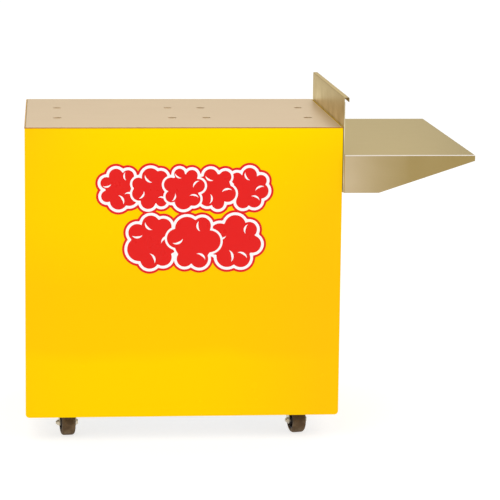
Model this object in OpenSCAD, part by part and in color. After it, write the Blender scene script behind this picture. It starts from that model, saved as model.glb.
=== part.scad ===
// Rolling base cabinet for counter-top corn cookers: a painted sheet steel cabinet on four swivel
// casters, with a stainless counter, a splash plate with a hook channel, and a folded side shelf.
// Millimetres. Origin: on the floor, under the middle of the whole cart. +Z up, front towards -Y.

/* [Cabinet] */
// Width of the cabinet body
cabinet_width = 914.4; // [820:0.1:1000]
// Depth of the cabinet body, front face to back face
cabinet_depth = 711; // [690:1:730]
// Height of the counter above the floor
counter_height = 927; // [890:1:960]
// Height of the front sheet's lower edge above the floor
skirt_height = 76; // [72:1:80]
// Thickness of the painted steel sheet
panel_t = 1.5; // [1.2:0.1:1.6]
// Thickness of the stainless sheet
stainless_t = 1.5; // [1.2:0.1:1.6]
// Radius of the front sheet's lower corners
panel_corner_r = 11; // [8:1:14]
// Radius of the cabinet's upright rear corners
rear_corner_r = 12; // [8:1:14]

/* [Counter] */
// Radius of the foot holes
foot_hole_r = 12.5; // [10:0.5:12.5]
// Distance of the left group's middle from the cabinet's left face
left_group_x = 265; // [240:1:275]
// Sideways spacing of the left group's holes
left_group_span = 340; // [300:1:350]
// Distance of the right group's middle from the cabinet's left face
right_group_x = 688; // [670:1:690]
// Sideways spacing of the right group's holes
right_group_span = 303; // [260:1:310]
// Front to back spacing of both groups
group_depth_span = 246; // [230:1:260]
// Distance of both groups' middles behind the cabinet's front face
group_y = 345; // [335:1:355]

/* [Splash plate] */
// Height of the splash plate above the counter
splash_rise = 86; // [70:1:100]
// Gap between the cabinet's side and the splash plate
splash_gap = 2; // [1.5:0.1:3]
// Width of the hook channel
hook_width = 15; // [14:1:20]
// Height of the hook channel's outer lip
hook_lip = 14; // [12:1:16]

/* [Side shelf] */
// Reach of the shelf beyond the cabinet's right face
shelf_reach = 386; // [340:1:420]
// Depth of the shelf, front edge to back edge
shelf_depth = 851; // [830:1:870]
// How far the shelf's front edge stands in front of the cabinet's front face
shelf_proud = 8; // [2:1:10]
// Drop from the counter to the shelf
shelf_drop = 81; // [60:1:90]
// Height of the shelf's gussets at the cabinet
gusset_height = 110; // [90:1:120]
// Length of the gussets' level lower edge
gusset_flat = 101; // [80:1:140]
// Height of the shelf's end lip
shelf_lip = 18; // [16:1:24]

/* [Doors] */
// Width of the rear uprights beside the doors
stile_width = 45; // [40:1:50]
// Thickness of a door
door_t = 18; // [16:1:20]
// Gap round and between the doors
door_gap = 3; // [2.5:0.5:4]
// Height of the doors' handles above the floor
handle_z = 560; // [450:10:700]

/* [Casters] */
// Radius of a caster wheel
wheel_r = 38.1; // [37:0.1:38.4]
// Width of a caster wheel
wheel_width = 40; // [36:1:40]
// Distance of the swivel axes from the cabinet's left and right faces
caster_inset_x = 118; // [110:1:140]
// Distance of the swivel axes from the cabinet's front and back faces
caster_inset_y = 118; // [105:1:140]
// Distance of a wheel's axle behind its swivel axis
caster_trail = 28; // [24:1:32]
// Swivel of the front left caster at rest, degrees
front_left_turn = 188; // [160:1:220]
// Swivel of the front right caster at rest, degrees
front_right_turn = 192; // [160:1:220]
// Swivel of the rear left caster at rest, degrees
rear_left_turn = 14; // [0:1:30]
// Swivel of the rear right caster at rest, degrees
rear_right_turn = -10; // [-30:1:0]

/* [Hidden] */
$fn = 48;

// Finishes
paint_yellow = [0.98, 0.80, 0.04];
stainless = [0.80, 0.74, 0.63];
galvanised = [0.70, 0.71, 0.72];
zinc = [0.75, 0.72, 0.62];
chrome = [0.85, 0.86, 0.88];
rubber = [0.30, 0.22, 0.15];
hub_grey = [0.25, 0.22, 0.20];
vinyl_red = [0.90, 0.14, 0.12];
plastic_white = [0.92, 0.92, 0.90];

// Vinyl decal
decal_t = 0.3;
decal_x = 457;
decal_z = 671;
upper_puff_r = 76;
upper_puff_pitch = 92;
lower_puff_r = 94;
lower_puff_pitch = 118;
puff_rows_apart = 156;
lower_row_shift = 28;

// Cabinet faces
left_x = -(cabinet_width + shelf_reach) / 2;
right_x = left_x + cabinet_width;
front_y = shelf_proud - shelf_depth / 2;
back_y = front_y + cabinet_depth;
cabinet_x = (left_x + right_x) / 2;
side_inner_x = panel_t + 0.3;
counter_drop = 30;
pan_bend = 3;
pan_corner_r = 4;
inner_front_y = front_y + 2 * panel_t + 0.3;
skirt_flange = 18;
side_bottom_z = skirt_height + panel_corner_r;
side_top_z = counter_height - 0.4;

// Floor of the cabinet
deck_z = 131.5;
deck_drop = 20;
channel_width = 84;
channel_web_t = 2.5;
caster_height = 100;

// Rear opening
opening_top_z = counter_height - 42;
door_bottom_z = deck_z + door_gap;
door_top_z = opening_top_z - door_gap;
door_width = (cabinet_width - 2 * stile_width - 3 * door_gap) / 2;
door_height = door_top_z - door_bottom_z;
door_inner_y = back_y - door_t;
left_door_x = left_x + stile_width + door_gap + door_width / 2;
right_door_x = right_x - stile_width - door_gap - door_width / 2;
catch_size = [44, 34, 14];
catch_inset = 40;
strike_size = [40, 1.2, 12];

// Storage shelf
storage_z = 500;
storage_drop = 25;
ledge_leg = 25;

// Splash plate and shelf
splash_x = right_x + splash_gap;
splash_top_z = counter_height + splash_rise;
shelf_z = counter_height - shelf_drop;
gusset_bottom_z = shelf_z - gusset_height;
hem_depth = 12;
shelf_wall_x = splash_x + 2 * stainless_t;
shelf_end_x = right_x + shelf_reach;
gusset_return = 12;
shelf_bolt_y = [front_y + 60, front_y + cabinet_depth / 2, back_y - 60];
shelf_bolt_z = [gusset_bottom_z + 20, gusset_bottom_z + 85];
splash_screw_y = [front_y + 40, front_y + cabinet_depth / 2, back_y - 40];
splash_screw_z = counter_height - 48;
bolt_r = 3;
bolt_hole_r = 3.2;
nut_across = 10;
nut_height = 5;

// Hinges and handles
hinge_height = 64;
hinge_z = [250, 760];
knuckles = 5;
knuckle_r = 4;
knuckle_gap = 0.3;
hinge_pin_r = 2;
hinge_run = 0.06;
leaf_width = 26;
leaf_t = 1.5;
leaf_hole_x = leaf_width - 9;
leaf_hole_z = [10, hinge_height - 10];
leaf_screw_r = 2;
hinge_y = back_y + knuckle_r;
left_hinge_x = left_x + stile_width + door_gap / 2;
right_hinge_x = right_x - stile_width - door_gap / 2;
handle_span = 120;
handle_r = 5;
handle_reach = 32;
handle_inset = 30;
handle_screw_r = 2;
handle_offset = door_width / 2 - handle_inset;

// Casters
front_left = [left_x + caster_inset_x, front_y + caster_inset_y, front_left_turn];
front_right = [right_x - caster_inset_x, front_y + caster_inset_y, front_right_turn];
rear_left = [left_x + caster_inset_x, back_y - caster_inset_y, rear_left_turn];
rear_right = [right_x - caster_inset_x, back_y - caster_inset_y, rear_right_turn];
casters = [front_left, front_right, rear_left, rear_right];
caster_plate = [64, 94, 2.5];
caster_bolt_x = 22;
caster_bolt_y = 38;
caster_bolt_r = 4;
caster_bolt_across = 13;
crown_z = 86;
crown_t = 3;
race_gap = 0.3;
dome_z = 91.5;
fork_gap = 46;
fork_t = 2.5;
axle_r = 5;
axle_across = 14;
kingpin_r = 6;
hub_r = 26;
shoulder_r = 9;

// Quarter of a ring in the +X +Y quadrant, centred on the origin
module quarter_ring(r, t) {
    intersection() {
        difference() {
            circle(r);
            circle(r - t);
        }
        square(r + 1);
    }
}

// Rectangle centred on the origin, with a radius for each corner, anticlockwise from +X +Y
module corner_rect(w, h, radii) {
    difference() {
        square([w, h], center = true);
        for (i = [0:3]) if (radii[i] > 0) rotate(90 * i) {
            half = i % 2 == 0 ? [w / 2, h / 2] : [h / 2, w / 2];
            translate(half - [radii[i], radii[i]]) difference() {
                square(radii[i] + 1);
                circle(radii[i]);
            }
        }
    }
}

// Bend and flange of a folded pan's rim, seen in section; u is the distance from the corner's centre
module rim_section(u, bend, t, drop) {
    translate([u - bend, -bend]) quarter_ring(bend, t);
    translate([u - t, -drop]) square([t, drop - bend]);
}

// Folded pan, centred on the origin, its face at z = 0 and its four sides bent down
module folded_pan(w, d, drop, t, radii) {
    inset = [for (r = radii) r - pan_bend];
    translate([0, 0, -t]) linear_extrude(t) corner_rect(w - 2 * pan_bend, d - 2 * pan_bend, inset);
    for (i = [0:3]) rotate(90 * i) {
        half = i % 2 == 0 ? [w / 2, d / 2] : [d / 2, w / 2];
        low = radii[(i + 3) % 4];
        high = radii[i];
        translate([half[0] - pan_bend, half[1] - high, 0]) rotate([90, 0, 0])
            linear_extrude(2 * half[1] - low - high) rim_section(pan_bend, pan_bend, t, drop);
        translate([half[0] - high, half[1] - high, 0]) rotate_extrude(angle = 90)
            rim_section(high, pan_bend, t, drop);
    }
}

// Cylinder along +X
module x_rod(r, length) {
    rotate([0, 90, 0]) cylinder(r = r, h = length);
}

// Cylinder along +Y
module y_rod(r, length) {
    rotate([-90, 0, 0]) cylinder(r = r, h = length);
}

// Places that a fastener row uses on the cabinet's right side, at x = 0
module at_shelf_bolts() {
    for (y = shelf_bolt_y, z = shelf_bolt_z) translate([0, y, z]) children();
}
module at_splash_screws() {
    for (y = splash_screw_y) translate([0, y, splash_screw_z]) children();
}

// Places of the counter's foot holes, at the counter's height
module at_foot_holes() {
    for (group = [[left_group_x, left_group_span], [right_group_x, right_group_span]])
        translate([left_x + group[0], front_y + group_y, counter_height])
            for (i = [-1, 1], j = [-1, 1]) translate([i * group[1] / 2, j * group_depth_span / 2, 0])
                children();
}

// Every caster's frame: swivel axis at x = y = 0, trailing towards +Y before its turn
module at_caster(caster) {
    translate([caster[0], caster[1], 0]) rotate(caster[2]) children();
}
module at_casters() {
    for (caster = casters) translate([caster[0], caster[1], 0]) children();
}
module at_caster_bolts() {
    at_casters() for (i = [-1, 1], j = [-1, 1])
        translate([i * caster_bolt_x, j * caster_bolt_y, 0]) children();
}

// Hexagonal nut or bolt head along +X, across flats
module hex(across, length) {
    rotate([0, 90, 0]) cylinder(d = across / cos(30), h = length, $fn = 6);
}

module front_panel() color(paint_yellow) {
    height = side_top_z - skirt_height;
    r = panel_corner_r;
    translate([cabinet_x, front_y + panel_t, skirt_height + height / 2]) rotate([90, 0, 0])
        linear_extrude(panel_t) corner_rect(cabinet_width, height, [0, 0, r, r]);
    translate([left_x + 2 * r, front_y + panel_t, skirt_height])
        cube([cabinet_width - 4 * r, skirt_flange, panel_t]);
}

// Left side panel in section: side, round rear corner and rear upright
module side_section() {
    square([panel_t, cabinet_depth - panel_t - rear_corner_r]);
    translate([rear_corner_r, cabinet_depth - panel_t - rear_corner_r])
        mirror([1, 0]) quarter_ring(rear_corner_r, panel_t);
    translate([rear_corner_r, cabinet_depth - 2 * panel_t]) square([stile_width - rear_corner_r, panel_t]);
}

// Left side panel, with its outer face at x = 0, and the strip that the front panel is welded to
module side_panel() {
    difference() {
        translate([0, front_y + panel_t, side_bottom_z])
            linear_extrude(side_top_z - side_bottom_z) side_section();
        translate([-1, front_y, side_bottom_z - 1]) rotate([45, 0, 0]) cube([30, 12, 12], center = true);
    }
    translate([panel_t, front_y + 2 * panel_t, side_bottom_z])
        cube([20, cabinet_depth - 2 * panel_t - 2 * rear_corner_r, panel_t]);
    weld_strip_z = side_bottom_z + 10;
    translate([panel_t + 0.1, front_y + panel_t, weld_strip_z])
        cube([18.4, panel_t, side_top_z - counter_drop - 2 - weld_strip_z]);
}

module left_side_panel() color(paint_yellow) difference() {
    translate([left_x, 0, 0]) side_panel();
    at_left_hinges() leaf_holes();
}

module right_side_panel() color(paint_yellow) difference() {
    translate([right_x, 0, 0]) mirror([1, 0, 0]) side_panel();
    translate([right_x - 10, 0, 0]) {
        at_shelf_bolts() x_rod(bolt_hole_r, 20);
        at_splash_screws() x_rod(bolt_hole_r, 20);
    }
    at_right_hinges() leaf_holes();
}

module counter_top() color(stainless) difference() {
    w = cabinet_width - 2 * side_inner_x;
    d = cabinet_depth - 2 * side_inner_x;
    translate([cabinet_x, front_y + cabinet_depth / 2, counter_height])
        folded_pan(w, d, counter_drop, stainless_t,
                   [rear_corner_r - side_inner_x, rear_corner_r - side_inner_x, pan_corner_r, pan_corner_r]);
    at_foot_holes() translate([0, 0, -5]) cylinder(r = foot_hole_r, h = 10);
}

module foot_cups() color(stainless) {
    inner = foot_hole_r + 0.3;
    depth = 5;
    at_foot_holes() translate([0, 0, -stainless_t]) rotate_extrude() {
        translate([inner, -1]) square([6, 1]);
        translate([inner, -depth]) square([1, depth - 1]);
        translate([0, -depth - 1]) square([inner + 1, 1]);
    }
}

// Hat channels under the counter, in front of, between and behind the foot holes
module counter_stiffeners() color(galvanised) {
    top = counter_height - stainless_t;
    hat_w = 60;
    hat_h = 22;
    for (y = [front_y + 60, front_y + group_y - hat_w / 2, back_y - 90]) {
        translate([left_x + 8, y, top - hat_h]) cube([cabinet_width - 16, hat_w, 1.5]);
        for (side = [0, hat_w - 1.5]) translate([left_x + 8, y + side, top - hat_h + 1.5])
            cube([cabinet_width - 16, 1.5, hat_h - 1.5]);
    }
}

module back_top_rail() color(paint_yellow) {
    length = cabinet_width - 2 * stile_width - 2;
    translate([left_x + stile_width + 1, back_y - panel_t, opening_top_z])
        cube([length, panel_t, side_top_z - opening_top_z]);
    translate([left_x + stile_width + 1, back_y - 70, opening_top_z]) cube([length, 70 - panel_t, panel_t]);
}

module back_bottom_rail() color(paint_yellow) {
    length = cabinet_width - 2 * stile_width - 2;
    translate([left_x + stile_width + 1, back_y - panel_t, side_bottom_z])
        cube([length, panel_t, deck_z - side_bottom_z]);
    translate([left_x + stile_width + 1, back_y - 20, side_bottom_z]) cube([length, 20 - panel_t, panel_t]);
}

module bottom_deck() color(galvanised) {
    depth = back_y - panel_t - 0.3 - inner_front_y;
    radii = [rear_corner_r, rear_corner_r, pan_corner_r, pan_corner_r];
    translate([cabinet_x, inner_front_y + depth / 2, deck_z])
        folded_pan(cabinet_width - 2 * side_inner_x, depth, deck_drop, panel_t, radii);
}

// Upturned channels that carry the casters
module base_channels() color(galvanised) difference() {
    depth = back_y - inner_front_y - 8;
    web_z = caster_height;
    for (x = [front_left[0], front_right[0]]) translate([x - channel_width / 2, inner_front_y + 2, web_z]) {
        cube([channel_width, depth, channel_web_t]);
        for (side = [0, channel_width - channel_web_t]) translate([side, 0, channel_web_t])
            cube([channel_web_t, depth, deck_z - panel_t - web_z - channel_web_t]);
    }
    at_casters() translate([0, 0, caster_height - 1]) cylinder(r = 12, h = channel_web_t + 2);
    at_caster_bolts() translate([0, 0, caster_height - 1])
        cylinder(r = caster_bolt_r + 0.2, h = channel_web_t + 2);
}

module inner_shelf() color(galvanised) {
    depth = door_inner_y - 8 - inner_front_y;
    width = cabinet_width - 2 * side_inner_x - 2 * panel_t;
    translate([cabinet_x, inner_front_y + depth / 2, storage_z])
        folded_pan(width, depth, storage_drop, panel_t, [for (i = [0:3]) pan_corner_r]);
}

module shelf_ledges() color(galvanised) {
    depth = door_inner_y - 20 - inner_front_y;
    top = storage_z - storage_drop;
    for (side = [0, 1]) translate([side == 0 ? left_x + panel_t : right_x - panel_t, inner_front_y, top])
        mirror([side, 0, 0]) {
            translate([0, 0, -1.5]) cube([ledge_leg, depth, 1.5]);
            translate([0, 0, -1.5 - ledge_leg]) cube([1.5, depth, ledge_leg]);
        }
}

// Splash plate in section: plate, top bend, hook channel and lip; x = 0 is its inner face
module splash_section() {
    bend = pan_bend;
    t = stainless_t;
    top = splash_top_z - gusset_bottom_z;
    square([t, top - bend]);
    translate([bend, top - bend]) mirror([1, 0]) quarter_ring(bend, t);
    translate([bend, top - t]) square([hook_width - 2 * bend, t]);
    translate([hook_width - bend, top - bend]) quarter_ring(bend, t);
    translate([hook_width - t, top - hook_lip]) square([t, hook_lip - bend]);
}

module splash_plate() color(stainless) difference() {
    translate([splash_x, 0, gusset_bottom_z]) {
        translate([0, back_y, 0]) rotate([90, 0, 0]) linear_extrude(cabinet_depth) splash_section();
        translate([stainless_t, front_y, 0])
            cube([stainless_t, hem_depth, splash_top_z - gusset_bottom_z - hook_lip]);
    }
    translate([splash_x - 5, 0, 0]) {
        at_shelf_bolts() x_rod(bolt_hole_r, 20);
        at_splash_screws() x_rod(bolt_hole_r, 20);
    }
}

module splash_spacers() color(plastic_white) {
    translate([right_x, 0, 0]) {
        at_shelf_bolts() spacer();
        at_splash_screws() spacer();
    }
}
module spacer() difference() {
    x_rod(8, splash_gap);
    translate([-1, 0, 0]) x_rod(bolt_hole_r, splash_gap + 2);
}

// Truss-head screws that hold the upper part of the splash plate
module splash_screws() color(zinc) {
    translate([splash_x + stainless_t, 0, 0]) at_splash_screws() {
        translate([-12, 0, 0]) x_rod(bolt_r, 12);
        rotate([0, 90, 0]) rotate_extrude() intersection() {
            translate([0, -8]) circle(10.5);
            square([6.5, 4]);
        }
    }
}
module splash_nuts() color(zinc) {
    translate([right_x - panel_t - nut_height, 0, 0]) at_splash_screws() nut();
}
module nut() difference() {
    hex(nut_across, nut_height);
    translate([-1, 0, 0]) x_rod(bolt_r, nut_height + 2);
}

// Gusset below the shelf's rim, from the wall outwards; z = 0 is the shelf's face
module gusset_outline(reach) {
    polygon([[pan_bend, -shelf_lip], [pan_bend, -gusset_height], [gusset_flat, -gusset_height],
             [reach - pan_bend, -shelf_lip]]);
}

// Lower edge of a gusset, folded inwards
module gusset_edge(reach) {
    run = reach - pan_bend - gusset_flat;
    slope_t = stainless_t / cos(atan((gusset_height - shelf_lip) / run));
    polygon([[pan_bend, -gusset_height], [gusset_flat, -gusset_height], [reach - pan_bend, -shelf_lip],
             [reach - pan_bend, slope_t - shelf_lip], [gusset_flat, slope_t - gusset_height],
             [pan_bend, slope_t - gusset_height]]);
}

module side_shelf() color(stainless) difference() {
    t = stainless_t;
    b = pan_bend;
    half = shelf_depth / 2;
    reach = shelf_end_x - shelf_wall_x;
    translate([shelf_wall_x, 0, shelf_z]) {
        translate([reach / 2, 0, 0]) folded_pan(reach, shelf_depth, shelf_lip, t, [b, b, b, b]);
        for (side = [0, 1]) mirror([0, side, 0]) {
            translate([0, t - half, 0]) rotate([90, 0, 0]) linear_extrude(t) gusset_outline(reach);
            translate([0, t - half + gusset_return, 0]) rotate([90, 0, 0]) linear_extrude(gusset_return)
                gusset_edge(reach);
            translate([b, b - half, -gusset_height]) rotate(180)
                linear_extrude(gusset_height - shelf_lip) quarter_ring(b, t);
        }
        translate([0, b - half, -gusset_height]) cube([t, shelf_depth - 2 * b, gusset_height - shelf_lip]);
    }
    translate([shelf_wall_x - 5, 0, 0]) at_shelf_bolts() x_rod(bolt_hole_r, 20);
}

// Plate between the splash plate and the shelf's wall flange
module shelf_doubler() color(stainless) difference() {
    translate([splash_x + stainless_t, front_y + hem_depth + 1, gusset_bottom_z])
        cube([stainless_t, cabinet_depth - hem_depth - 1, gusset_height - pan_bend]);
    translate([splash_x - 5, 0, 0]) at_shelf_bolts() x_rod(bolt_hole_r, 20);
}

// Hat channel along the middle of the shelf's underside
module shelf_stiffener() color(stainless) {
    reach = shelf_end_x - shelf_wall_x - 12;
    translate([shelf_wall_x + 6, -30, shelf_z - stainless_t]) {
        translate([0, 0, -15]) cube([reach, 60, 1.5]);
        for (y = [0, 58.5]) translate([0, y, -13.5]) cube([reach, 1.5, 13.5]);
    }
}

module shelf_bolts() color(zinc) {
    translate([shelf_wall_x + stainless_t, 0, 0]) at_shelf_bolts() {
        hex(nut_across, 4.2);
        translate([-16, 0, 0]) x_rod(bolt_r, 16);
    }
}
module shelf_nuts() color(zinc) {
    translate([right_x - panel_t - nut_height, 0, 0]) at_shelf_bolts() nut();
}

// Die-cut vinyl: two rows of round puffs that run into each other
module front_decal() color(vinyl_red) {
    translate([left_x + decal_x, front_y, decal_z]) rotate([90, 0, 0]) linear_extrude(decal_t) {
        translate([0, puff_rows_apart / 2]) puff_row(5, upper_puff_r, upper_puff_pitch);
        translate([lower_row_shift, -puff_rows_apart / 2]) puff_row(3, lower_puff_r, lower_puff_pitch);
    }
}
module puff_row(count, r, pitch) {
    for (i = [0:count - 1]) translate([(i - (count - 1) / 2) * pitch, 0]) circle(r);
}

// A door's skin, closed, centred on x = 0
module door_skin() {
    translate([0, back_y, door_bottom_z + door_height / 2]) rotate([-90, 0, 0])
        folded_pan(door_width, door_height, door_t - panel_t, panel_t, [for (i = [0:3]) pan_bend]);
}
module door_liner() {
    translate([-door_width / 2, door_inner_y, door_bottom_z]) cube([door_width, panel_t, door_height]);
}

// Screw holes of a door's handle, on the plane y = 0
module at_handle_ends(x) {
    for (i = [-1, 1]) translate([x, 0, handle_z + i * handle_span / 2]) children();
}

module drilled_door(x, handle_x) difference() {
    translate([x, 0, 0]) door_skin();
    at_handle_ends(handle_x) translate([0, back_y - 5, 0]) y_rod(handle_screw_r + 0.1, 10);
}
module left_door() color(paint_yellow) difference() {
    drilled_door(left_door_x, left_door_x + handle_offset);
    at_left_hinges() mirror([1, 0, 0]) leaf_holes();
}
module right_door() color(paint_yellow) difference() {
    drilled_door(right_door_x, right_door_x - handle_offset);
    at_right_hinges() mirror([1, 0, 0]) leaf_holes();
}
module left_door_liner() color(galvanised) {
    translate([left_door_x, 0, 0]) door_liner();
}
module right_door_liner() color(galvanised) {
    translate([right_door_x, 0, 0]) door_liner();
}

// Bow handle: two posts, two round bends and a grip bar
module bow_handle(x) {
    bend = 12;
    post = handle_reach - handle_r - bend;
    at_handle_ends(x) translate([0, back_y, 0]) difference() {
        union() {
            y_rod(handle_r, post);
            y_rod(handle_r + 2.5, 2);
        }
        translate([0, -1, 0]) y_rod(handle_screw_r, 11);
    }
    for (side = [-1, 1])
        translate([x, back_y + post, handle_z + side * (handle_span / 2 - bend)])
            mirror([0, 0, side < 0 ? 1 : 0]) rotate([0, -90, 0])
                rotate_extrude(angle = 90) translate([bend, 0]) circle(handle_r);
    translate([x, back_y + post + bend, handle_z - handle_span / 2 + bend])
        cylinder(r = handle_r, h = handle_span - 2 * bend);
}
module left_door_handle() color(chrome) {
    bow_handle(left_door_x + handle_offset);
}
module right_door_handle() color(chrome) {
    bow_handle(right_door_x - handle_offset);
}
module handle_screws(x) {
    at_handle_ends(x) {
        translate([0, back_y - panel_t - 2.5, 0]) y_rod(4, 2.5);
        translate([0, back_y - panel_t, 0]) y_rod(handle_screw_r - 0.05, 10);
    }
}
module left_handle_screws() color(zinc) {
    handle_screws(left_door_x + handle_offset);
}
module right_handle_screws() color(zinc) {
    handle_screws(right_door_x - handle_offset);
}

// Strike plate on a door's inner face, and the magnetic catch that it meets
module strike(x) {
    translate([x - strike_size[0] / 2, door_inner_y - strike_size[1], door_top_z - strike_size[2] - 2])
        cube(strike_size);
}
module left_strike() color(zinc) {
    strike(left_door_x + door_width / 2 - catch_inset);
}
module right_strike() color(zinc) {
    strike(right_door_x - door_width / 2 + catch_inset);
}
module door_catches() color(plastic_white) {
    for (x = [left_door_x + door_width / 2 - catch_inset, right_door_x - door_width / 2 + catch_inset])
        translate([x - catch_size[0] / 2, door_inner_y - strike_size[1] - 0.3 - catch_size[1],
                   opening_top_z - catch_size[2]]) cube(catch_size);
}

// Screw places of one hinge leaf on the -X side of the pin, on the leaf's seat
module at_leaf_holes() {
    for (z = leaf_hole_z) translate([-leaf_hole_x, -knuckle_r, z]) children();
}

// Pins of the hinges on the left and on the right, the right ones mirrored
module at_left_hinges() {
    for (z = hinge_z) translate([left_hinge_x, hinge_y, z]) children();
}
module at_right_hinges() {
    for (z = hinge_z) translate([right_hinge_x, hinge_y, z]) mirror([1, 0, 0]) children();
}

// One leaf of a butt hinge: plate on the -X side of the pin, with the knuckles first, first + 2 and so on
module hinge_leaf(first, bore_r) {
    pitch = hinge_height / knuckles;
    difference() {
        union() {
            translate([-leaf_width, -knuckle_r, 0])
                cube([leaf_width - knuckle_r - 0.4, leaf_t, hinge_height]);
            for (i = [first:2:knuckles - 1]) translate([0, 0, i * pitch + knuckle_gap / 2]) {
                cylinder(r = knuckle_r, h = pitch - knuckle_gap);
                translate([-knuckle_r - 0.5, -knuckle_r, 0])
                    cube([knuckle_r + 0.5, leaf_t, pitch - knuckle_gap]);
            }
        }
        translate([0, 0, -1]) cylinder(r = bore_r, h = hinge_height + 2);
        at_leaf_holes() translate([0, -1, 0]) y_rod(leaf_screw_r + 0.2, leaf_t + 2);
    }
}
module leaf_screws() {
    at_leaf_holes() {
        translate([0, leaf_t, 0]) y_rod(3.6, 1.4);
        translate([0, -7, 0]) y_rod(leaf_screw_r, leaf_t + 7);
    }
}
module leaf_holes() {
    at_leaf_holes() translate([0, -7, 0]) y_rod(leaf_screw_r + 0.2, 9);
}

module hinge_frame_leaves() color(zinc) {
    at_left_hinges() hinge_leaf(0, hinge_pin_r);
    at_right_hinges() hinge_leaf(0, hinge_pin_r);
}
module hinge_frame_screws() color(zinc) {
    at_left_hinges() leaf_screws();
    at_right_hinges() leaf_screws();
}
module hinge_pins() color(zinc) {
    for (x = [left_hinge_x, right_hinge_x], z = hinge_z) translate([x, hinge_y, z]) {
        cylinder(r = hinge_pin_r, h = hinge_height);
        for (end = [-2, hinge_height]) translate([0, 0, end]) cylinder(r = 3.2, h = 2);
    }
}
module left_door_hinge_leaves() color(zinc) {
    at_left_hinges() mirror([1, 0, 0]) hinge_leaf(1, hinge_pin_r + hinge_run);
}
module right_door_hinge_leaves() color(zinc) {
    at_right_hinges() mirror([1, 0, 0]) hinge_leaf(1, hinge_pin_r + hinge_run);
}
module left_hinge_screws() color(zinc) {
    at_left_hinges() mirror([1, 0, 0]) leaf_screws();
}
module right_hinge_screws() color(zinc) {
    at_right_hinges() mirror([1, 0, 0]) leaf_screws();
}

// Top plates of the casters, each with its pressed upper race
module caster_plates() color(zinc) difference() {
    at_casters() {
        translate([0, 0, caster_height - caster_plate[2]]) linear_extrude(caster_plate[2])
            corner_rect(caster_plate[0], caster_plate[1], [8, 8, 8, 8]);
        translate([0, 0, dome_z]) cylinder(r = 26, h = caster_height - caster_plate[2] - dome_z);
    }
    at_casters() translate([0, 0, dome_z - 1]) cylinder(r = kingpin_r, h = caster_height);
    at_caster_bolts() translate([0, 0, caster_height - 5]) cylinder(r = caster_bolt_r + 0.3, h = 10);
}
module caster_kingpins() color(zinc) {
    at_casters() {
        translate([0, 0, crown_z - race_gap - 3.5]) cylinder(r = 10, h = 3.5);
        translate([0, 0, crown_z - race_gap]) cylinder(r = kingpin_r, h = caster_height - crown_z + race_gap);
        translate([0, 0, caster_height]) cylinder(r = 9, h = 3);
    }
}
module caster_bolts() color(zinc) {
    at_caster_bolts() {
        translate([0, 0, caster_height - caster_plate[2] - 5])
            cylinder(d = caster_bolt_across / cos(30), h = 5, $fn = 6);
        translate([0, 0, caster_height - caster_plate[2]]) cylinder(r = caster_bolt_r, h = 16);
    }
}
module caster_nuts() color(zinc) {
    at_caster_bolts() translate([0, 0, caster_height + channel_web_t]) difference() {
        cylinder(d = caster_bolt_across / cos(30), h = 6.5, $fn = 6);
        translate([0, 0, -1]) cylinder(r = caster_bolt_r, h = 9);
    }
}

// Swivel fork: crown with the lower race, two tapered legs and flared shoulders
module caster_fork(caster) color(zinc) at_caster(caster) {
    outer = fork_gap / 2 + fork_t;
    difference() {
        union() {
            translate([0, 0, crown_z]) cylinder(r = 27, h = crown_t);
            translate([0, 0, crown_z + crown_t]) cylinder(r = 23, h = dome_z - race_gap - crown_z - crown_t);
            translate([-outer, -18, crown_z]) cube([2 * outer, 44, crown_t]);
            for (side = [-1, 1]) translate([side * (fork_gap + fork_t) / 2 - fork_t / 2, 0, 0]) fork_leg();
        }
        translate([0, 0, crown_z - 1]) cylinder(r = kingpin_r + 0.05, h = 10);
        translate([-outer - 1, caster_trail, wheel_r]) x_rod(axle_r + 0.1, 2 * outer + 2);
    }
}
module fork_leg() {
    foot = 11;
    rotate([90, 0, 90]) linear_extrude(fork_t) {
        polygon([[-18, crown_z + crown_t], [-18, crown_z - 6], [caster_trail - foot, wheel_r],
                 [caster_trail + foot, wheel_r], [26, crown_z + crown_t]]);
        translate([caster_trail, wheel_r]) circle(foot);
    }
}

// Axle bolt and its nut, across the fork
module caster_axle(caster) color(zinc) at_caster(caster) {
    outer = fork_gap / 2 + fork_t;
    translate([0, caster_trail, wheel_r]) {
        translate([-outer - 5, 0, 0]) hex(axle_across, 5);
        translate([-outer, 0, 0]) x_rod(axle_r, 2 * outer);
        translate([outer, 0, 0]) hex(axle_across, 6);
        translate([outer + 6, 0, 0]) x_rod(axle_r - 0.5, 3);
    }
}

// Wheel centre: rim, web and bearing boss
module caster_hub(caster) color(hub_grey) at_caster(caster) {
    boss = fork_gap - 0.6;
    bore = axle_r + 0.06;
    translate([0, caster_trail, wheel_r]) rotate([0, 90, 0]) rotate_extrude() {
        translate([bore, -boss / 2]) square([5, boss]);
        translate([bore + 5, -4]) square([hub_r - bore - 9, 8]);
        translate([hub_r - 4, -17]) square([4, 34]);
    }
}
module caster_tyre(caster) color(rubber) at_caster(caster) {
    band = wheel_r - hub_r;
    translate([0, caster_trail, wheel_r]) rotate([0, 90, 0]) rotate_extrude()
        translate([hub_r + band / 2, 0]) corner_rect(band, wheel_width, [shoulder_r, 0, 0, shoulder_r]);
}

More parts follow.
